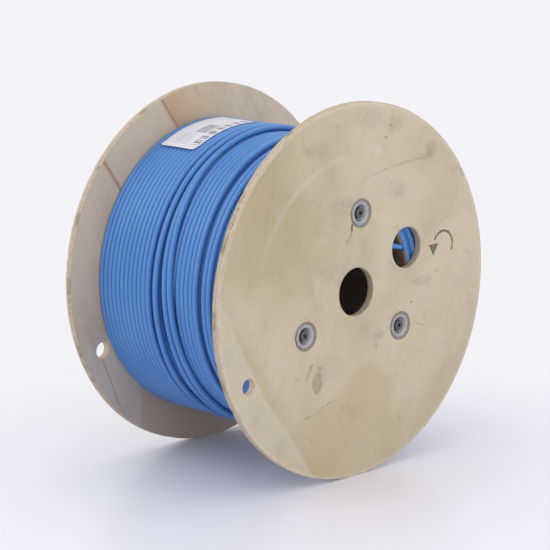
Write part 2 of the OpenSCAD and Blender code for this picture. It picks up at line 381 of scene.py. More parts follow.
def near_sheets(wood, colour):
    """Sheets of veneer: a greener one above, a browner one at the foot, a paler one at the left."""
    _, past_upper = wood.beside(*UPPER_SEAM)
    # The upper seam shows below, and higher up the two tones run into each other.
    seam = wood.step(wood.z, 0.45 * R, 0.10 * R)
    green = wood.step(past_upper, 2.5 * MM, -2.5 * MM) * seam
    green = green + wood.step(past_upper, 40 * MM, -60 * MM) * (1 - seam)
    green = green * wood.step(past_upper, -0.62 * R, -0.04 * R)
    green = green * wood.step(wood.z, -0.34 * R, 0.15 * R)
    colour = wood.mix(green * 0.50, colour, rgb(180, 166, 132))
    seam_line = wood.streak(*UPPER_SEAM, 1.8 * MM) * seam
    colour = wood.mix(seam_line * 0.14, colour, rgb(150, 134, 102))
    yellow = wood.step(wood.y, -0.05 * R, -0.65 * R) * wood.step(wood.z, -0.10 * R, 0.60 * R)
    colour = wood.mix(yellow * 0.50, colour, rgb(169, 153, 116))
    wander = wood.noise(16, detail=5, roughness=0.7) - 0.5
    _, over_left = wood.beside(FOOT_LEFT, FOOT_PEAK)
    _, over_right = wood.beside(FOOT_PEAK, FOOT_RIGHT)
    foot = wood.step(over_left + wander * 50 * MM, 6 * MM, -8 * MM)
    foot = foot * wood.step(over_right + wander * 50 * MM, 6 * MM, -12 * MM)
    veins = wood.noise(15, detail=4, vector=wood.stretch((1, 1, 0.10), turn=math.radians(42)))
    foot = foot * (0.28 + wood.step(veins, 0.42, 0.60) * 0.34)
    colour = wood.mix(foot, colour, rgb(185, 168, 129))
    _, from_joint = wood.beside(*LEFT_JOINT, -0.010 * R)
    bend = wood.step(wood.z, 0.05 * R, -0.20 * R) * wood.step(wood.z, -0.75 * R, -0.45 * R)
    from_joint = from_joint + wander * 10 * MM + bend * 7 * MM
    left_sheet = wood.step(from_joint, 2 * MM, -2 * MM)
    colour = wood.mix(left_sheet * 0.70, colour, rgb(197, 185, 164))
    joint = wood.step(from_joint, 0, 3 * MM) * wood.step(from_joint, 34 * MM, 0)
    return wood.mix(joint * (0.12 + bend * 0.26), colour, rgb(170, 150, 112))


def near_cracks(wood, colour):
    """Cracks in the veneer, the split below a washer, and one dark scratch."""
    broken = wood.step(wood.noise(90, detail=3), 0.34, 0.60)
    fading = 0.4 + wood.step(wood.y, 0.05 * R, 0.30 * R) * 0.6
    long_crack = wood.streak((-0.03, 0.558), (0.59, 0.650), 1.9 * MM, 0.032 * R, 5 * MM)
    low_crack = wood.streak((-0.39, -0.625), (-0.15, -0.553), 1.6 * MM, 0.0, 7 * MM)
    rim_crack = wood.streak((0.80, 0.580), (0.845, 0.510), 2.4 * MM, 0.0, 5 * MM)
    cracks = long_crack * (0.12 + broken * 0.18) * fading
    cracks = cracks + low_crack * broken * 0.40 + rim_crack * 0.65
    colour = wood.mix(cracks, colour, rgb(96, 86, 72))
    upper_split = wood.streak((-0.004, 0.412), (-0.044, 0.325), 3.0 * MM, 0.0, 9 * MM)
    lower_split = wood.streak((-0.028, 0.350), (-0.088, 0.262), 1.5 * MM, 0.010 * R, 8 * MM)
    split = wood.math("MINIMUM", upper_split + lower_split * 0.6, 0.85)
    colour = wood.mix(split, colour, rgb(92, 76, 58))
    scratch = wood.streak((0.455, -0.235), (0.535, -0.265), 0.6 * MM, 0.0, 1 * MM)
    return wood.mix(scratch * 0.60, colour, rgb(70, 62, 54))


def near_smudges(wood, colour, ragged):
    """Grey smudges, two knots, a torn spot, a rust spot and specks."""
    smudges = wood.streak((-0.325, -0.33), (-0.378, -0.43), 4 * MM, 0.0, 5 * MM) * 0.42
    for centre, half_width, half_height, soft, strength in SMUDGES:
        spot = wood.spot(centre, half_width * MM, half_height * MM, soft)
        smudges = smudges + spot * strength
    colour = wood.mix(smudges * (0.45 + ragged * 0.55), colour, rgb(114, 106, 94))
    knots = (
        wood.spot((0.257, 0.856), 4 * MM, 3 * MM)
        + wood.spot((0.219, 0.794), 4 * MM, 3 * MM)
    )
    colour = wood.mix(knots * 0.5, colour, rgb(134, 118, 74))
    torn = wood.spot((0.155, 0.735), 10 * MM, 8 * MM, soft=0.4)
    colour = wood.mix(torn * 0.30, colour, rgb(212, 201, 182))
    colour = wood.mix(wood.spot((0.43, -0.12), 2.2 * MM, 2.2 * MM), colour, rgb(176, 112, 56))
    return wood.mix(wood.specks(34, 0.045) * 0.45, colour, rgb(108, 92, 70))


def near_veneer():
    """The near flange's outer face."""
    wood, colour = veneer(
        "near_flange_veneer", rgb(199, 186, 162), rgb(187, 174, 146), rgb(146, 130, 104),
        math.radians(30),
    )
    colour = near_sheets(wood, colour)
    # A pale arc rubbed by a stop as the drum turned, fainter towards the left.
    from_axis = wood.hypot(wood.y, wood.z)
    arc = wood.step(abs(from_axis - RUBBED_ARC_R), 6.5 * MM, 1 * MM)
    arc = arc * wood.step(wood.y, 0.04 * R, -0.20 * R) * wood.step(wood.z, 0.0, 0.62 * R)
    colour = wood.mix(arc * 0.25, colour, rgb(216, 207, 190))
    # Faint dark clouds and scuffs from handling.
    clouds = wood.step(wood.noise(11, detail=6, roughness=0.7), 0.50, 0.72)
    colour = wood.mix(clouds * 0.26, colour, rgb(138, 127, 108))
    scuffs = wood.step(wood.noise(34, detail=6, roughness=0.75), 0.57, 0.70)
    colour = wood.mix(scuffs * 0.32, colour, rgb(144, 128, 100))
    colour = near_cracks(wood, colour)
    ragged = wood.step(wood.noise(110, detail=5), 0.36, 0.60)
    colour = near_smudges(wood, colour, ragged)
    # An arrow for the rolling direction, printed in dark ink.
    colour = wood.mix(rolling_arrow(wood), colour, rgb(66, 62, 58))
    # The face is rubbed pale and chipped along its edge.
    rubbed = wood.step(from_axis, *RUBBED_EDGE)
    colour = wood.mix(rubbed * 0.55, colour, rgb(214, 201, 182))
    torn_edge = from_axis + (wood.noise(60, detail=5) - 0.5) * 9 * MM
    chipped = wood.step(torn_edge, 0.985 * R, 0.997 * R)
    colour = wood.mix(chipped * ragged * 0.40, colour, rgb(150, 130, 104))
    wood.set(Base_Color=colour)
    return wood.material


def rolling_arrow(wood):
    """1 on a plain bent arrow about 44 mm wide, worn thin like a rubber stamp."""
    across = wood.y - ARROW_PLACE[0] * R
    above = wood.z - ARROW_PLACE[1] * R
    ring = wood.step(abs(wood.hypot(across, above) - ARROW_R), 2.0 * MM, 1.3 * MM)
    ring = ring * wood.step(above + across * 0.5, -1 * MM, 0.5 * MM)
    # The head points down at the arc's left end.
    drop = above + 4 * MM
    aside = abs(across + ARROW_R)
    head = wood.step(aside - (drop + 9 * MM) * 0.6, 0.5 * MM, -0.5 * MM)
    head = head * wood.step(drop, 7.5 * MM, 6.6 * MM)
    worn = wood.step(wood.noise(380, detail=3), 0.34, 0.46)
    return wood.math("MAXIMUM", ring, head) * (0.35 + worn * 0.5)


SEAM_BLUR = 0.4 * MM


def inner_veneer():
    """The flanges' inner faces, with a browner and coarser grain."""
    wood, colour = veneer(
        "inner_flange_veneer", rgb(211, 196, 174), rgb(195, 177, 153), rgb(150, 124, 98),
        math.radians(-32), grain=2.4,
    )
    # Seams between sheets, each sheet with its own tint that fades away from the seam.
    _, past_upper = wood.beside((-0.225, 0.772), (-0.340, 0.931))
    _, past_lower = wood.beside((-0.634, 0.469), (-0.750, 0.639))
    upper = wood.step(past_upper, -SEAM_BLUR, SEAM_BLUR)
    beyond = wood.step(past_lower, -SEAM_BLUR, SEAM_BLUR)
    between = upper * (1 - beyond)
    brown = (1 - upper) * wood.step(past_upper, -0.25 * R, 0.0)
    colour = wood.mix(brown * 0.75, colour, rgb(184, 150, 118))
    colour = wood.mix(between * 0.60, colour, rgb(186, 175, 156))
    colour = wood.mix(beyond * 0.45, colour, rgb(194, 176, 158))
    low = wood.step(wood.z, -0.15 * R, -0.45 * R)
    left = wood.step(wood.y, -0.513 * R, -0.517 * R)
    colour = wood.mix(low * left * 0.60, colour, rgb(190, 184, 176))
    colour = wood.mix(low * (1 - left) * 0.55, colour, rgb(176, 158, 142))
    streaks = (
        wood.streak((-0.791, -0.411), (-0.654, -0.742), 1.8 * MM, 0.0, 3 * MM) * 0.45
        + wood.streak((-0.35, 0.945), (-0.215, 0.76), 3.5 * MM, 0.0, 2 * MM) * 0.55
        + wood.streak((-0.765, 0.66), (-0.62, 0.45), 4.0 * MM, 0.0, 3 * MM) * 0.60
    )
    colour = wood.mix(streaks, colour, rgb(146, 104, 74))
    clouds = wood.step(wood.noise(13, detail=6, roughness=0.7), 0.50, 0.72)
    colour = wood.mix(clouds * 0.20, colour, rgb(140, 120, 104))
    wood.set(Base_Color=colour)
    return wood.material


FAR_JOINT = ((0.72, -0.60), (0.52, 0.80))


def far_veneer():
    """The far flange's outer face: two sheets with one joint, a rub, a crack and specks."""
    wood, colour = veneer(
        "far_flange_veneer", rgb(200, 188, 166), rgb(185, 170, 142), rgb(144, 124, 96),
        math.radians(-20),
    )
    _, from_joint = wood.beside(*FAR_JOINT, 0.03 * R)
    sheet = wood.step(from_joint, 0.6 * MM, -0.6 * MM)
    colour = wood.mix(sheet * 0.6, colour, rgb(192, 176, 152))
    joint = wood.streak(*FAR_JOINT, 0.9 * MM, 0.03 * R)
    colour = wood.mix(joint * 0.30, colour, rgb(150, 130, 104))
    clouds = wood.step(wood.noise(11, detail=6, roughness=0.7), 0.50, 0.72)
    colour = wood.mix(clouds * 0.22, colour, rgb(140, 126, 104))
    colour = wood.mix(wood.specks(30, 0.05) * 0.45, colour, rgb(112, 94, 70))
    rub = wood.spot((0.30, -0.35), 0.22 * R, 0.16 * R)
    ragged = wood.step(wood.noise(80, detail=4), 0.42, 0.62)
    colour = wood.mix(rub * ragged * 0.30, colour, rgb(120, 112, 102))
    crack = wood.streak((-0.55, -0.30), (-0.18, -0.52), 0.8 * MM, 0.01 * R, 2 * MM)
    colour = wood.mix(crack * 0.6, colour, rgb(96, 82, 64))
    rubbed = wood.step(wood.hypot(wood.y, wood.z), *RUBBED_EDGE)
    colour = wood.mix(rubbed * 0.5, colour, rgb(212, 198, 178))
    wood.set(Base_Color=colour)
    return wood.material


PLIES = 5
# Bruised stretches of the rims: angle above and below the level, and half the length as an
# angle, both in degrees.
BRUISES = ((159.0, 3.0), (179.0, 2.8), (118.0, 2.0), (62.0, 2.5), (21.0, 3.0))


def across_board(wood):
    """0 at a board's inner face, 1 at its outer face."""
    return (abs(wood.x) - INNER_X) / FLANGE_T


def ply_edge():
    """The board's sawn rim: a smooth pale outer ply, then brown plies with dark pores and chips."""
    wood = Finish("plywood_edge", Roughness=0.75, Specular_IOR_Level=0.25)
    depth = across_board(wood) + (wood.noise(30, detail=2) - 0.5) * 0.10
    wave = wood.math("SINE", depth * (PLIES * math.pi))
    end_grain = wood.step(wave, -0.25, 0.25) * wood.step(depth, 0.74, 0.62)
    pores = wood.step(wood.noise(900, detail=2, roughness=0.8), 0.50, 0.64)
    fibre = wood.noise(160, detail=5, roughness=0.7)
    pale = wood.mix(wood.step(fibre, 0.35, 0.7), rgb(199, 186, 166), rgb(180, 165, 141))
    brown = wood.mix(pores, rgb(178, 162, 138), rgb(104, 87, 69))
    colour = wood.mix(end_grain * 0.65, pale, brown)
    stains = wood.step(wood.noise(20, detail=5, roughness=0.7), 0.56, 0.68)
    stains = stains * wood.step(depth, 0.80, 0.60)
    colour = wood.mix(stains * 0.70, colour, rgb(112, 88, 66))
    round_board = wood.math("ARCTAN2", wood.z, wood.y)
    tears = wood.noise(70, detail=5, roughness=0.75)
    for angle, length in BRUISES:
        off = abs(abs(round_board) - math.radians(angle)) + (tears - 0.5) * 0.16
        bruised = wood.step(off, math.radians(length), math.radians(length * 0.3))
        bruised = bruised * wood.step(tears * 0.5 + depth, 1.10, 0.75) * (0.35 + pores * 0.35)
        colour = wood.mix(bruised, colour, rgb(104, 86, 68))
    chips = wood.step(wood.noise(75, detail=4, roughness=0.7), 0.62, 0.70)
    colour = wood.mix(chips * 0.35, colour, rgb(96, 76, 60))
    glue = wood.step(abs(wave), 0.22, 0.04)
    colour = wood.mix(glue * 0.22, colour, rgb(122, 100, 76))
    wood.bump(pores * end_grain * -1 + fibre * 0.3, 0.25 * MM, 0.6)
    wood.set(Base_Color=colour)
    return wood.material


def bored_edge():
    """The walls of the bore, drive and start holes: plies, painted browner for the shade inside the
    holes.
    """
    wood = Finish("bored_hole_edge", Roughness=0.8, Specular_IOR_Level=0.2)
    wave = wood.math("SINE", across_board(wood) * (PLIES * math.pi))
    fibre = wood.noise(260, detail=5, roughness=0.7)
    # Painted shade: the plies and their fibres are browner than on the rim, for the shade that falls
    # inside the holes.
    colour = wood.mix(wood.step(wave, -0.6, 0.6), rgb(192, 178, 156), rgb(172, 155, 132))
    colour = wood.mix(wood.step(fibre, 0.45, 0.75) * 0.40, colour, rgb(124, 106, 86))
    # The start hole's wall, near the rim, is paler.
    near_rim = wood.step(wood.hypot(wood.y, wood.z), 0.65 * R, 0.75 * R)
    colour = wood.mix(near_rim * 0.60, colour, rgb(216, 204, 186))
    wood.bump(fibre, 0.2 * MM, 0.6)
    wood.set(Base_Color=colour)
    return wood.material


def torn_wood():
    """Raw wood in the washer recesses."""
    wood = Finish("washer_recess_wood", Roughness=0.85, Specular_IOR_Level=0.2)
    fibre = wood.noise(420, detail=5, roughness=0.75)
    colour = wood.mix(wood.step(fibre, 0.35, 0.7), rgb(180, 165, 140), rgb(140, 124, 102))
    wood.bump(fibre, 0.4 * MM, 0.9)
    wood.set(Base_Color=colour)
    return wood.material


def barrel_board():
    """Bent thin board, browner at its sawn ends."""
    wood = Finish("barrel_board", Roughness=0.8, Specular_IOR_Level=0.2)
    fibre = wood.noise(60, detail=5, vector=wood.stretch((0.15, 1, 1)), roughness=0.7)
    colour = wood.mix(wood.step(fibre, 0.3, 0.7), rgb(150, 134, 120), rgb(122, 108, 96))
    edge = wood.step(abs(wood.x), INNER_X - 1.5 * MM, INNER_X - 0.5 * MM)
    colour = wood.mix(edge, colour, rgb(122, 102, 82))
    wood.bump(fibre, 0.3 * MM, 0.6)
    wood.set(Base_Color=colour)
    return wood.material


def zinc(name, light, dark, roughness):
    """Galvanised steel with a faint crystal pattern, a little scratched, with a painted highlight round
    the cup's mouth and painted shade at its outer edge and down in the cup.
    """
    metal = Finish(name, Metallic=0.85)
    crystals = metal.node("ShaderNodeTexVoronoi", {"feature": "F1"}, {
        "Vector": metal.place, "Scale": 700.0,
    }, output="Color")
    flake = metal.node("ShaderNodeSeparateColor", inputs={"Color": crystals})
    cloud = metal.noise(300, detail=4)
    colour = metal.mix(flake * 0.35 + cloud * 0.5, dark, light)
    from_bolt = 1.0
    for place in BOLT_PLACES:
        away = metal.hypot(metal.y - place[0], metal.z - place[1])
        from_bolt = metal.math("MINIMUM", from_bolt, away)
    # Painted highlight round the mouth of the cup, and painted shade at the outer edge and down in the
    # cup, which also darkens the bolt's head.
    painted_mouth_highlight = metal.step(abs(from_bolt - CUP_MOUTH_R), 2.2 * MM, 0.4 * MM)
    colour = metal.mix(painted_mouth_highlight * (0.15 + cloud * 0.35), colour, rgb(216, 216, 214))
    painted_cup_shade = metal.step(from_bolt, WASHER_R - 2.4 * MM, WASHER_R - 0.4 * MM)
    painted_cup_shade = painted_cup_shade + metal.step(from_bolt, CUP_FLOOR_R + 1.4 * MM, CUP_FLOOR_R - 0.2 * MM)
    colour = metal.mix(painted_cup_shade * 0.5, colour, rgb(92, 92, 92))
    metal.set(Base_Color=colour, Roughness=roughness + cloud * 0.18)
    metal.bump(cloud, 0.05 * MM, 0.4)
    return metal.material


def cable_jacket():
    """Smooth satin jacket, with faint haze where the turns were handled."""
    jacket = Finish("blue_cable_jacket", Specular_IOR_Level=0.5)
    drift = jacket.noise(9, detail=2)
    haze = jacket.step(jacket.noise(60, detail=4, roughness=0.6), 0.50, 0.75)
    fine = jacket.noise(700, detail=2)
    colour = jacket.mix(jacket.step(drift, 0.3, 0.7), rgb(75, 130, 195), rgb(81, 136, 201))
    colour = jacket.mix(haze * 0.12, colour, rgb(110, 150, 200))
    jacket.set(Base_Color=colour, Roughness=0.36 + haze * 0.08)
    jacket.bump(fine, 0.02 * MM, 0.3)
    return jacket.material


# Rules on the label: across from its side at the far flange, and the far end of each, up from
# the label's lower edge.
RULES = (
    (19 * MM, 38 * MM), (24 * MM, 42 * MM), (29 * MM, 36 * MM), (34 * MM, 40 * MM), (39 * MM, 34 * MM),
)
RULE_START = 10 * MM
RULE_WIDTH = 1.6 * MM
PRINT_BLUR = 1 * MM
STRIPE_WAVES = 1600
BAR_WAVES = (1150, 430)


def label_paper():
    """White self-adhesive paper, a little crumpled, with plain grey rules and bars and no words."""
    paper = Finish("label_paper", Roughness=0.5, Specular_IOR_Level=0.35)
    fibre = paper.noise(500, detail=3)
    crumple = paper.noise(45, detail=4, roughness=0.6)
    colour = paper.mix(paper.step(fibre, 0.3, 0.7), rgb(217, 217, 223), rgb(209, 209, 216))
    colour = paper.mix(paper.step(crumple, 0.5, 0.75) * 0.3, colour, rgb(190, 191, 202))
    low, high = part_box("label")
    across = paper.x - low[0]
    width = high[0] - low[0]
    round_drum = paper.math("ARCTAN2", paper.z, paper.y)
    up = (LABEL_ANGLE - round_drum) * TOP_R
    inked = 0.0
    for place, end in RULES:
        rule = paper.step(abs(across - place), RULE_WIDTH / 2, RULE_WIDTH / 4)
        inked = inked + rule * paper.between(up, RULE_START, end, PRINT_BLUR)
    # A block of stripes, and a row of plain bars along the side towards the near flange.
    stripes = paper.step(paper.math("SINE", across * STRIPE_WAVES), -0.6, -0.2)
    block = stripes * paper.between(across, 26 * MM, 46 * MM, PRINT_BLUR)
    block = block * paper.between(up, 42 * MM, 72 * MM, PRINT_BLUR)
    wide, narrow = (paper.math("SINE", up * waves) for waves in BAR_WAVES)
    bars = paper.step(wide + narrow, -0.1, 0.2)
    bars = bars * paper.between(across, width - 17 * MM, width - 3 * MM, PRINT_BLUR)
    bars = bars * paper.step(up, 7 * MM, 8 * MM)
    inked = paper.math("MINIMUM", inked * 0.45 + block * 0.70 + bars * 0.75, 0.8)
    colour = paper.mix(inked, colour, rgb(66, 66, 72))
    paper.set(Base_Color=colour)
    paper.bump(fibre * 0.1 + crumple, 1.2 * MM, 0.6)
    return paper.material


def studio_floor():
    """Pale satin floor that fades into the background colour away from the drum."""
    floor = Finish("pale_studio_floor", Roughness=0.30, Specular_IOR_Level=0.35)
    floor.set(Base_Color=FLOOR_COLOUR)
    # The fade is centred a little in front of the drum, towards the camera.
    across = floor.x - FADE_CENTRE * math.sin(CAMERA_AZIMUTH)
    along = floor.y + FADE_CENTRE * math.cos(CAMERA_AZIMUTH)
    seen = floor.node("ShaderNodeLightPath", output="Is Camera Ray")
    backdrop = floor.node("ShaderNodeEmission", inputs={"Color": BACKDROP, "Strength": 1.0})
    fade = floor.step(floor.hypot(across, along), FADE_START, FADE_END) * seen
    blend = floor.node("ShaderNodeMixShader", inputs={
        0: fade, 1: Value(floor, floor.shader.outputs[0]), 2: backdrop,
    })
    floor.feed(floor.tree.nodes["Material Output"].inputs["Surface"], blend)
    return floor.material


FACE_NEAR = near_veneer()
FACE_INNER = inner_veneer()
FACE_FAR = far_veneer()
EDGE = ply_edge()
BORED = bored_edge()
TORN = torn_wood()
JACKET = cable_jacket()
ZINC = zinc("galvanised_washer", rgb(186, 186, 186), rgb(130, 131, 132), 0.26)
BOLT = zinc("zinc_plated_bolt", rgb(128, 126, 122), rgb(82, 80, 78), 0.34)


# ---------------------------------------------------------------- modelling helpers

WELD = 0.002 * MM
SHARP_EDGE = math.radians(60)


def deselect():
    for thing in bpy.context.selected_objects:
        thing.select_set(False)


def pick(piece):
    """Selects this piece alone and makes it the active one."""
    deselect()
    bpy.context.view_layer.objects.active = piece
    piece.select_set(True)


def begin_edit(piece):
    pick(piece)
    bpy.ops.object.mode_set(mode="EDIT")


def end_edit():
    bpy.ops.object.mode_set(mode="OBJECT")


def apply_all(piece):
    pick(piece)
    bpy.ops.object.transform_apply(location=True, rotation=True, scale=True)


def finish_modifier(piece, kind, **settings):
    """Adds a modifier and applies it."""
    pick(piece)
    modifier = piece.modifiers.new(kind.lower(), kind)
    for setting, choice in settings.items():
        setattr(modifier, setting, choice)
    bpy.ops.object.modifier_apply(modifier=modifier.name)


def round_bar(x0, x1, radius, place=(0, 0), vertices=64):
    """A cylinder along the drum's axis from x0 to x1."""
    deselect()
    bpy.ops.mesh.primitive_cylinder_add(
        vertices=vertices, radius=radius, depth=x1 - x0,
        location=((x0 + x1) / 2, place[0], place[1]), rotation=(0, math.pi / 2, 0),
    )
    bar = bpy.context.object
    apply_all(bar)
    return bar


def combine(piece, tool, operation="DIFFERENCE"):
    """Cuts tool out of piece, or keeps only what they share, and drops the tool."""
    finish_modifier(piece, "BOOLEAN", operation=operation, object=tool, solver="EXACT")
    bpy.data.objects.remove(tool, do_unlink=True)


def smooth(piece, angle):
    """Shades smooth across edges that turn by less than angle, in degrees."""
    pick(piece)
    bpy.ops.object.shade_smooth_by_angle(angle=math.radians(angle))


def outward(piece):
    """Merges doubles and turns every face outwards."""
    begin_edit(piece)
    bpy.ops.mesh.select_all(action="SELECT")
    bpy.ops.mesh.remove_doubles(threshold=WELD)
    bpy.ops.mesh.normals_make_consistent(inside=False)
    end_edit()


def break_edges(piece, width, segments=2, sharp=SHARP_EDGE, **settings):
    """Rounds every edge that turns by more than the angle sharp."""
    finish_modifier(
        piece, "BEVEL", width=width, segments=segments, limit_method="ANGLE", angle_limit=sharp,
        **settings,
    )


def coat(piece, *materials):
    """Gives a piece its materials, in place of any that it has."""
    piece.data.materials.clear()
    for material in materials:
        piece.data.materials.append(material)


def hand_over(piece, name, slot, *nodes):
    """Names a finished piece, hangs it on the body, and hides the CAD nodes that it stands for."""
    piece.name = name
    piece.data.name = name
    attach(piece, BODY)
    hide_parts(*nodes)


def copied(piece, change):
    """A copy with its own mesh, changed by a matrix."""
    copy = piece.copy()
    copy.data = piece.data.copy()
    bpy.context.collection.objects.link(copy)
    copy.data.transform(change)
    return copy


def twin(piece, place):
    """A copy moved across the drum's axis."""
    return copied(piece, Matrix.Translation((0, place[0], place[1])))


def mirrored(piece):
    """A copy on the other side of the drum, with its faces pointing outwards again."""
    copy = copied(piece, Matrix.Scale(-1, 4, (1, 0, 0)))
    copy.data.flip_normals()
    return copy


# ---------------------------------------------------------------- flanges

RIM_POINTS = 320
HOLE_POINTS = 128
DENTS = 16
SPARE = 2 * MM


def dent_rim(piece, seed):
    """Presses small dents into both rims of the board, as drums get when they are rolled."""
    rng = random.Random(seed)
    dents = [
        (rng.uniform(0, 2 * math.pi), rng.uniform(0.25, 0.9) * MM, rng.uniform(2, 6) * MM,
         rng.choice((INNER_X, OUTER_X)))
        for _ in range(DENTS)
    ]
    for vertex in piece.data.vertices:
        radius = math.hypot(vertex.co.y, vertex.co.z)
        if radius < FLANGE_R - 2 * EDGE_BREAK:
            continue
        angle = math.atan2(vertex.co.z, vertex.co.y)
        push = 0
        for where, depth, width, side in dents:
            if abs(abs(vertex.co.x) - side) > FLANGE_T / 2:
                continue
            off = math.remainder(angle - where, 2 * math.pi) * FLANGE_R / width
            push += depth * math.exp(-off * off)
        vertex.co.y *= 1 - push / radius
        vertex.co.z *= 1 - push / radius


def flange_board():
    """One board at the near side, with all its holes, pockets and the barrel's groove."""
    board = round_bar(INNER_X, OUTER_X, FLANGE_R, vertices=RIM_POINTS)
    through = INNER_X - SPARE
    holes = [
        (through, BORE_R, (0, 0), HOLE_POINTS),
        (through, DRIVE_HOLE_R, DRIVE_PLACE, HOLE_POINTS),
        (through, START_HOLE_R, START_PLACE, 64),
    ]
    for place in BOLT_PLACES:
        holes.append((OUTER_X - WASHER_T, RECESS_R, place, 64))
        holes.append((OUTER_X - CUP_DEPTH, POCKET_R, place, 64))
        holes.append((through, SHANK_HOLE_R, place, 32))
    for floor, radius, place, vertices in holes:
        combine(board, round_bar(floor, OUTER_X + SPARE, radius, place, vertices))
    groove_floor = INNER_X + GROOVE_DEPTH
    groove = round_bar(through, groove_floor, BARREL_R + GROOVE_GAP, vertices=RIM_POINTS)
    island = round_bar(
        through - SPARE, groove_floor + GROOVE_DEPTH, BARREL_INNER_R - GROOVE_GAP, vertices=RIM_POINTS
    )
    combine(groove, island)
    combine(board, groove)
    break_edges(board, EDGE_BREAK, segments=3)
    return board


def paint_board(board, outer_face):
    """Veneer on the two faces, sawn plies on every edge, raw wood in the washer recesses."""
    coat(board, EDGE, outer_face, FACE_INNER, TORN, BORED)
    edge, outer, inner, torn, bored = range(5)
    middle_x = (INNER_X + OUTER_X) / 2
    for polygon in board.data.polygons:
        x = abs(polygon.center.x)
        flat = abs(polygon.normal.x) > 0.9
        near_bolt = min(
            math.hypot(polygon.center.y - y, polygon.center.z - z) for y, z in BOLT_PLACES
        )
        below = x < OUTER_X - EDGE_BREAK * 0.5
        if near_bolt < RECESS_R + 0.5 * MM and x > INNER_X + 1 * MM and (below or not flat):
            polygon.material_index = torn
        elif flat:
            polygon.material_index = outer if x > middle_x else inner
        elif math.hypot(polygon.center.y, polygon.center.z) < FLANGE_R - 4 * MM:
            polygon.material_index = bored
        else:
            polygon.material_index = edge


near_board = flange_board()
far_board = mirrored(near_board)
for board, name, face, seed in (
    (near_board, "near_flange_board", FACE_NEAR, 3),
    (far_board, "far_flange_board", FACE_FAR, 8),
):
    dent_rim(board, seed)
    paint_board(board, face)
    smooth(board, 30)
    hand_over(board, name, "flange_plywood", name.replace("_board", ""))


# ---------------------------------------------------------------- bolts, washers and nuts

def cup_washer():
    """A pressed washer: sloping lip, bead at the mouth, cone and floor, as one thickened sheet."""
    deselect()
    bpy.ops.mesh.primitive_circle_add(
        vertices=96, radius=WASHER_R, fill_type="NGON",
        location=(OUTER_X - LIP_DROP, 0, 0), rotation=(0, math.pi / 2, 0),
    )
    washer = bpy.context.object
    apply_all(washer)
    begin_edit(washer)
    bpy.ops.mesh.select_mode(type="FACE")
    bpy.ops.mesh.select_all(action="SELECT")
    radius = WASHER_R
    depth = LIP_DROP
    for next_radius, next_depth in (
        (WASHER_R - 2.2 * MM, LIP_DROP * 0.45),
        (CUP_MOUTH_R + 1.0 * MM, 0.15 * MM),
        (CUP_MOUTH_R + 0.3 * MM, 0.0),
        (CUP_MOUTH_R - 0.5 * MM, 0.35 * MM),
        (CUP_MOUTH_R - 1.1 * MM, 1.3 * MM),
        (CUP_FLOOR_R + 0.5 * MM, CUP_DEPTH - WASHER_T - 0.5 * MM),
        (CUP_FLOOR_R - 0.4 * MM, CUP_DEPTH - WASHER_T),
        (SHANK_HOLE_R, CUP_DEPTH - WASHER_T),
    ):
        bpy.ops.mesh.inset(thickness=radius - next_radius)
        bpy.ops.transform.translate(value=(depth - next_depth, 0, 0))
        radius, depth = next_radius, next_depth
    bpy.ops.mesh.delete(type="FACE")
    end_edit()
    outward(washer)
    if sum(polygon.normal.x for polygon in washer.data.polygons) < 0:
        washer.data.flip_normals()
    finish_modifier(washer, "SOLIDIFY", thickness=WASHER_T, offset=-1, use_even_offset=False)
    break_edges(washer, 0.3 * MM)
    coat(washer, ZINC)
    smooth(washer, 60)
    return washer


def tie_bolt():
    """A round-headed bolt with a hexagon socket; its shank runs through the whole drum."""
    seat = OUTER_X - CUP_DEPTH + WASHER_T
    tip = -OUTER_X + CUP_DEPTH - WASHER_T - NUT_H - THREAD_PROUD
    bolt = round_bar(seat, seat + HEAD_H, HEAD_R, vertices=64)
    begin_edit(bolt)
    bpy.ops.mesh.select_mode(type="FACE")
    bpy.ops.mesh.select_all(action="DESELECT")
    end_edit()
    for polygon in bolt.data.polygons:
        polygon.select = polygon.normal.x < -0.9
    begin_edit(bolt)
    bpy.ops.mesh.inset(thickness=HEAD_R - SHANK_R)
    bpy.ops.mesh.extrude_region_move(TRANSFORM_OT_translate={"value": (tip - seat, 0, 0)})
    end_edit()
    break_edges(bolt, 0.9 * MM, segments=4, sharp=math.radians(80), use_clamp_overlap=True)
    top = seat + HEAD_H
    combine(bolt, round_bar(top - SOCKET_DEPTH, top + SPARE / 2, SOCKET_R, vertices=6))
    coat(bolt, BOLT)
    smooth(bolt, 40)
    return bolt


def tie_nut():
    """A thin hexagon nut with its corners turned off, on the floor of a far washer."""
    seat = -OUTER_X + CUP_DEPTH - WASHER_T
    nut = round_bar(seat - NUT_H, seat, NUT_POINT_R, vertices=6)
    turned = round_bar(seat - NUT_H, seat, NUT_POINT_R * 0.985, vertices=64)
    break_edges(turned, 0.6 * MM, sharp=math.radians(30))
    combine(nut, turned, "INTERSECT")
    combine(nut, round_bar(seat - NUT_H - SPARE / 2, seat + SPARE / 2, SHANK_R + NUT_GAP))
    coat(nut, BOLT)
    smooth(nut, 35)
    return nut


washer_master = cup_washer()
bolt_master = tie_bolt()
nut_master = tie_nut()
for number, place in enumerate(BOLT_PLACES, start=1):
    near_washer = twin(washer_master, place)
    far_washer = mirrored(near_washer)
    hand_over(near_washer, f"near_washer_{number}", "washer_zinc", f"near_cup_washer_{number}")
    hand_over(far_washer, f"far_washer_{number}", "washer_zinc", f"far_cup_washer_{number}")
    hand_over(twin(bolt_master, place), f"bolt_{number}", "bolt_steel", f"tie_bolt_{number}")
    hand_over(twin(nut_master, place), f"nut_{number}", "bolt_steel", f"tie_nut_{number}")
for master in (washer_master, bolt_master, nut_master):
    bpy.data.objects.remove(master, do_unlink=True)


# ---------------------------------------------------------------- the wound cable

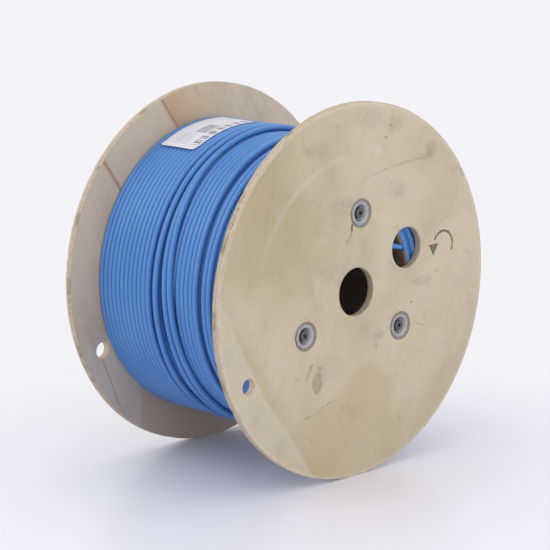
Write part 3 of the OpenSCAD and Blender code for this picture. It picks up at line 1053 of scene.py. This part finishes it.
# One cable, turn after turn in the order in which it was wound: the turns beside the near
# flange, the lower layer on to the far one, then the top layer back, then the crossing turns.
# Each turn has its place along the axis, its radius, how far it swings to each side of that
# place as it goes round, how far it leans towards the far flange at both sides, and the angle
# in degrees at which it does neither.
Turn = namedtuple("Turn", "x radius swing lean still")
NEAR_SLOTS = 10
EMPTY_SLOT = 7
EDGE_TURNS = 5
SPREAD_TURNS = 4
TOP_TURNS = 12
SWING = 6.7 * MM
LEAN = 8 * MM
TOP_LEAN = 6 * MM
STILL = 165
FIRST_LIFT = 3 * MM
STEPS = 160
ROUNDNESS = 5
TURN_START = math.radians(50)
TURN_STEADY = math.radians(270)
FULL = 2 * math.pi


def near_turns():
    """From the near flange inwards, with one slot left empty."""
    turns = []
    for i in range(NEAR_SLOTS):
        if i == EMPTY_SLOT:
            continue
        share = 0.75 if i > EMPTY_SLOT else 0.01 * i
        turns.append(Turn(-FIRST_TURN_X - i * NEAR_PITCH, LOWER_R, SWING * share, LEAN * share, STILL))
    return turns


def lower_turns():
    """Edge turns, spread turns, and the turns that carry the top layer."""
    carried = [FIRST_TURN_X + (i + 0.5) * TURN_PITCH for i in range(TOP_TURNS)]
    spread = [carried[-1] + (i + 1) * SPREAD_PITCH for i in range(SPREAD_TURNS)]
    edge = [spread[-1] + (i + 1) * TURN_PITCH for i in range(EDGE_TURNS)]
    turns = []
    # The second of the spread turns is left out: a crossing turn lies in its place.
    for i, x in enumerate(edge[::-1] + spread[:1:-1]):
        lift = FIRST_LIFT if i == 0 else 0
        share = 1 - 0.06 * max(0, i - EDGE_TURNS)
        turns.append(Turn(x + lift * 0.7, LOWER_R + lift, SWING * share, LEAN * share, STILL))
    turns.append(Turn(spread[0] - 1.2 * MM, LOWER_R, 0, 0, STILL))
    return turns + [Turn(x, LOWER_R, 0, 0, STILL) for x in carried[::-1]]


def top_turns():
    """From the far flange on, each leaning a little more than the last."""
    return [
        Turn(FIRST_TURN_X + i * TURN_PITCH, TOP_R, 0, TOP_LEAN * i / (TOP_TURNS - 1), 172)
        for i in range(TOP_TURNS)
    ]


NEAR = near_turns()
LOWER = lower_turns()
TOP = top_turns()
CROSSING = [
    Turn(TOP[-1].x + 15.7 * MM, CROSSING_R, 1.0 * MM, 8.5 * MM, 175),
    Turn(TOP[-1].x + 31.7 * MM, CROSSING_R, 13.0 * MM, 7.6 * MM, 170),
    Turn(TOP[-1].x + 41.0 * MM, CROSSING_R, 16.9 * MM, 7.4 * MM, 170),
]
TURNS = NEAR + LOWER + TOP + CROSSING
LOWER_FIRST = len(NEAR)
TOP_FIRST = LOWER_FIRST + len(LOWER)
CROSSING_FIRST = TOP_FIRST + len(TOP)
# Each turn also wavers by three small waves: phase, waves in a turn, and height.
WINDING = random.Random(21)
WAVES = [
    [(WINDING.uniform(0, FULL), WINDING.choice((2, 3, 5)), WINDING.uniform(0.02, 0.08) * MM)
     for _ in range(3)]
    for _ in TURNS
]


def at(x, radius, angle):
    """The point at x along the drum's axis, radius from it and angle round it."""
    return Vector((x, radius * math.cos(angle), radius * math.sin(angle)))


def levelled(angle):
    """The angle, but levelling off past 48 degrees to either side, where a turn runs straight."""
    limit = math.radians(48)
    soft = math.radians(6)
    size = abs(angle)
    return math.copysign(size - soft * math.log1p(math.exp((size - limit) / soft)), angle)


def eased(value, low, high):
    """0 below low, 1 above high, smooth between."""
    share = min(1, max(0, (value - low) / (high - low)))
    return share * share * (3 - 2 * share)


def eased_angle(angle, low, high):
    """The same for an angle, between two given in degrees."""
    return eased(angle, math.radians(low), math.radians(high))


def steady(turn, angle):
    """Where a turn lies at an angle: along the axis, and its radius."""
    x, radius, swing, lean, still = TURNS[turn]
    wave = sum(height * math.sin(count * angle + phase) for phase, count, height in WAVES[turn])
    aside = math.sin(levelled(angle - math.radians(still)))
    if turn == LOWER_FIRST + EDGE_TURNS:
        # This turn is squeezed up between the last two crossing turns once both lie side by side.
        squeeze = eased_angle(angle, 168, 185) * (1 - eased_angle(angle, 235, 260))
        radius += 2.2 * MM * squeeze
        x -= 1.5 * MM * squeeze
    if turn == CROSSING_FIRST + 1:
        # The second crossing turn climbs out of the slot that it lies in at the top.
        radius -= 3.8 * MM * (1 - eased_angle(angle, 118, 170))
    return x + swing * aside - lean * aside * aside + wave, radius


def on_drum(turn, angle):
    """A point of the cable. Between TURN_STEADY and the next turn's start it changes over."""
    x, radius = steady(turn, angle)
    if angle > TURN_STEADY and turn + 1 < len(TURNS):
        share = eased(angle, TURN_STEADY, FULL + TURN_START)
        next_x, next_radius = steady(turn + 1, angle - FULL)
        x += (next_x - x) * share
        radius += (next_radius - radius) * share
    limit = -FIRST_TURN_X + LAY_GAP
    return at(max(-limit, min(limit, x)), radius, angle)


def drawn_line(name, path, radius=0.0, closed=False):
    """A mesh along path: bare edges, or a round bar cut square at both ends if it has a radius."""
    curve = bpy.data.curves.new(name, "CURVE")
    curve.dimensions = "3D"
    curve.bevel_depth = radius
    curve.bevel_resolution = ROUNDNESS
    curve.use_fill_caps = radius > 0
    line = curve.splines.new("POLY")
    line.points.add(len(path) - 1)
    line.use_cyclic_u = closed
    for point, place in zip(line.points, path):
        point.co = (*place, 1)
    drawn = bpy.data.objects.new(name, curve)
    bpy.context.collection.objects.link(drawn)
    pick(drawn)
    bpy.ops.object.convert(target="MESH")
    return bpy.context.object


def finish_cable(piece, name, node):
    coat(piece, JACKET)
    outward(piece)
    smooth(piece, 50)
    hand_over(piece, name, "cable_jacket", node)


def wound_piece(name, node, first, count=1):
    """Turns of the cable, count of them from the first on, as one tube."""
    path = [
        on_drum(turn, TURN_START + FULL * i / STEPS)
        for turn in range(first, first + count) for i in range(STEPS)
    ]
    path.append(on_drum(first + count - 1, TURN_START + FULL))
    finish_cable(drawn_line(name, path, CABLE_R), name, node)


wound_piece("turns_beside_near_flange", "cable_near_turns", 0, len(NEAR))
wound_piece("lower_layer_turns", "cable_lower_layer", LOWER_FIRST, len(LOWER))
wound_piece("top_layer_turns", "cable_top_layer", TOP_FIRST, len(TOP))
for number in (1, 2):
    wound_piece(f"crossing_turn_{number}", f"cable_crossing_turn_{number}", CROSSING_FIRST + number - 1)


# The last turn ends past a full turn. On its way it moves over to the gap beside the near
# turns, and then drops in. All are angles in degrees.
LAST_END = 405
MOVE_OVER = (250, 360)
DROP_IN = (345, 375)


def last_turn():
    """The cable's last turn, whose end drops into the gap beside the near turns."""
    turn = CROSSING_FIRST + 2
    length = math.radians(LAST_END) - TURN_START
    count = round(STEPS * length / FULL)
    path = []
    for i in range(count + 1):
        angle = TURN_START + length * i / count
        x = on_drum(turn, angle).x
        gap_here = (steady(LOWER_FIRST - 1, angle)[0] + steady(LOWER_FIRST, angle)[0]) / 2
        x += (gap_here - x) * eased_angle(angle, *MOVE_OVER)
        radius = CROSSING_R + (LOWER_R - CROSSING_R) * eased_angle(angle, *DROP_IN)
        path.append(at(x, radius, angle))
    name = "crossing_turn_3"
    finish_cable(drawn_line(name, path, CABLE_R), name, "cable_crossing_turn_3")


last_turn()


RIB_STEP = 0.9 * MM
SLEEVE_STEPS = 128


def bulge(value, rows):
    """How far the turns at rows stand out at a place: the highest of their round outlines."""
    tops = [
        height + math.sqrt(CABLE_R ** 2 - (value - row) ** 2)
        for row, height in rows if abs(value - row) < CABLE_R
    ]
    return max(tops, default=None)


def sleeve_outline():
    """The hidden layers in section: ribbed like round turns on its top and both ends."""
    first_r = BARREL_R + CABLE_R + LAY_GAP
    top_r = LOWER_R - LAYER_RISE
    end_x = -FIRST_TURN_X
    layers = round((top_r - first_r) / LAYER_RISE)
    rise = (top_r - first_r) / layers
    # Every other layer is half a turn shorter, as each nests in the layer below.
    end_rows = [(first_r + i * rise, end_x - i % 2 * TURN_PITCH / 2) for i in range(layers + 1)]
    shift = layers % 2 * TURN_PITCH / 2
    count = int((end_x - shift) / TURN_PITCH * 2) + 1
    top_rows = [(-end_x + shift + i * TURN_PITCH, top_r) for i in range(count)]
    hollow_x = end_x - TURN_PITCH
    outline = [(hollow_x, BARREL_R + LAY_GAP)]
    radius = first_r - CABLE_R + LAY_GAP
    while radius < top_r:
        outline.append((bulge(radius, end_rows) or hollow_x, radius))
        radius += RIB_STEP
    x = end_x
    while x > -end_x:
        height = bulge(x, top_rows)
        if height:
            outline.append((x, height))
        x -= RIB_STEP
    outline += [(-x, radius) for x, radius in outline[::-1] if radius < top_r - RIB_STEP / 2]
    return outline


def hidden_layers():
    """The hidden layers as one sleeve, turned round the drum's axis."""
    outline = [(x, 0, radius) for x, radius in sleeve_outline()]
    sleeve = drawn_line("hidden_layers", outline, closed=True)
    finish_modifier(
        sleeve, "SCREW", axis="X", angle=FULL, steps=SLEEVE_STEPS, render_steps=SLEEVE_STEPS,
        use_merge_vertices=True,
    )
    finish_cable(sleeve, "hidden_layers", "cable_inner_layers")


hidden_layers()

# The inner end comes through a notch in the barrel wall and bends away from the near flange.
LEAD_ANGLE = math.radians(24)
LEAD_SLOPE = math.radians(12.5)
LEAD_BEND_R = 70 * MM
LEAD_BEND = math.radians(55)
LEAD_STEPS = 36
LEAD_RADIUS = BARREL_R - CABLE_R * math.sin(LEAD_ANGLE + LEAD_SLOPE) - LAY_GAP


def inner_end():
    start = at(-FIRST_TURN_X, LEAD_RADIUS, LEAD_ANGLE)
    inwards = Vector((0, -math.cos(LEAD_SLOPE), math.sin(LEAD_SLOPE)))
    away = Vector((-1, 0, 0))
    path = []
    for i in range(LEAD_STEPS + 1):
        bend = LEAD_BEND * i / LEAD_STEPS
        path.append(start + (inwards * math.sin(bend) + away * (1 - math.cos(bend))) * LEAD_BEND_R)
    finish_cable(drawn_line("inner_end", path, CABLE_R), "inner_end", "cable_inner_end")


inner_end()


# ---------------------------------------------------------------- label

LABEL_CORNER = 6 * MM
LABEL_CELL = 4 * MM
LABEL_LIFT = 0.25 * MM
# Faint creases over the label: waves in a millimetre across and along it, and their phase.
CREASES = ((0.11, 0.05, 0.4), (-0.07, 0.13, 2.1), (0.19, -0.09, 4.0), (0.03, 0.21, 5.2))
CREASE_HEIGHT = 0.10 * MM
DIP = 0.35 * MM
# Near its lower edge the sheet stands off, more and less in a slow wave.
LOOSE_LENGTH = 14 * MM
STAND_OFF = 1.6 * MM


def flat_label(width):
    """The sheet before it is laid on: round corners, and cut into cells so that it can bend."""
    deselect()
    bpy.ops.mesh.primitive_plane_add(size=1, location=(0, 0, 0))
    sheet = bpy.context.object
    sheet.scale = (width, LABEL_LENGTH, 1)
    apply_all(sheet)
    begin_edit(sheet)
    bpy.ops.mesh.select_all(action="SELECT")
    bpy.ops.mesh.bevel(offset=LABEL_CORNER, segments=6, affect="VERTICES")
    for length, normal, cell in (
        (width, (1, 0, 0), TURN_PITCH / 6),
        (LABEL_LENGTH, (0, 1, 0), LABEL_CELL),
    ):
        for i in range(1, int(length / cell)):
            bpy.ops.mesh.select_all(action="SELECT")
            offset = i * cell - length / 2
            bpy.ops.mesh.bisect(plane_co=[offset * part for part in normal], plane_no=normal)
    end_edit()
    return sheet


def paper_label():
    """The sheet laid over the top layer: it dips between turns, and its lower edge stands off."""
    low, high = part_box("label")
    width = high[0] - low[0]
    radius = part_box("cable_top_layer")[1][2] + LABEL_LIFT
    sheet = flat_label(width)
    for vertex in sheet.data.vertices:
        across = vertex.co.x + width / 2
        up = vertex.co.y + LABEL_LENGTH / 2
        x = low[0] + across
        between = 0.5 - 0.5 * math.cos((x - FIRST_TURN_X) / TURN_PITCH * FULL)
        inside = min(1, max(0, min(across, width - across, up) / LABEL_CORNER))
        creases = sum(
            math.sin(x * wide / MM + vertex.co.y * tall / MM + phase) for wide, tall, phase in CREASES
        )
        height = radius + (creases * CREASE_HEIGHT - between * DIP) * inside
        height += (STAND_OFF + 0.5 * MM * math.sin(x * 55)) * (1 - eased(up, 0, LOOSE_LENGTH))
        vertex.co = at(x, height, LABEL_ANGLE - up / radius)
    outward(sheet)
    first = sheet.data.polygons[0]
    if first.normal.y * first.center.y + first.normal.z * first.center.z < 0:
        sheet.data.flip_normals()
    finish_modifier(sheet, "SOLIDIFY", thickness=LABEL_T, offset=1)
    coat(sheet, label_paper())
    smooth(sheet, 40)
    hand_over(sheet, "paper_label", "label_paper", "label")


paper_label()


# ---------------------------------------------------------------- barrel, as the frame has it

BARREL_FINISH = barrel_board()
for slot in frame["nodes"]["barrel"].material_slots:
    slot.material = BARREL_FINISH


# ---------------------------------------------------------------- studio

FLOOR_SIZE = 14.0


def lay_floor():
    deselect()
    bpy.ops.mesh.primitive_plane_add(size=FLOOR_SIZE, location=(0, 0, -FLANGE_R))
    floor = bpy.context.object
    floor.name = "studio_floor"
    floor.data.materials.append(studio_floor())


def light_world():
    """An even glow, and the plain backdrop for the camera and for what metal and glass show."""
    world = bpy.data.worlds.new("studio")
    bpy.context.scene.world = world
    world.use_nodes = True
    tree = world.node_tree
    glow = tree.nodes["Background"]
    glow.inputs["Color"].default_value = BACKDROP
    glow.inputs["Strength"].default_value = GLOW
    back = tree.nodes.new("ShaderNodeBackground")
    back.inputs["Color"].default_value = BACKDROP
    rays = tree.nodes.new("ShaderNodeLightPath")
    seen = rays.outputs["Is Camera Ray"]
    for kind in ("Is Glossy Ray", "Is Transmission Ray"):
        either = tree.nodes.new("ShaderNodeMath")
        either.operation = "MAXIMUM"
        tree.links.new(seen, either.inputs[0])
        tree.links.new(rays.outputs[kind], either.inputs[1])
        seen = either.outputs[0]
    choose = tree.nodes.new("ShaderNodeMixShader")
    for socket, source in enumerate((seen, glow.outputs[0], back.outputs[0])):
        tree.links.new(source, choose.inputs[socket])
    tree.links.new(choose.outputs[0], tree.nodes["World Output"].inputs["Surface"])


def studio():
    lay_floor()
    light_world()
    add_lamp("soft_box_above", place=(-0.4, -1.8, 1.9), size=2.2, power=15)
    add_lamp("soft_box_right", place=(2.7, 0.6, 1.0), size=2.0, power=11)


studio()
bpy.context.scene.view_settings.view_transform = "Standard"
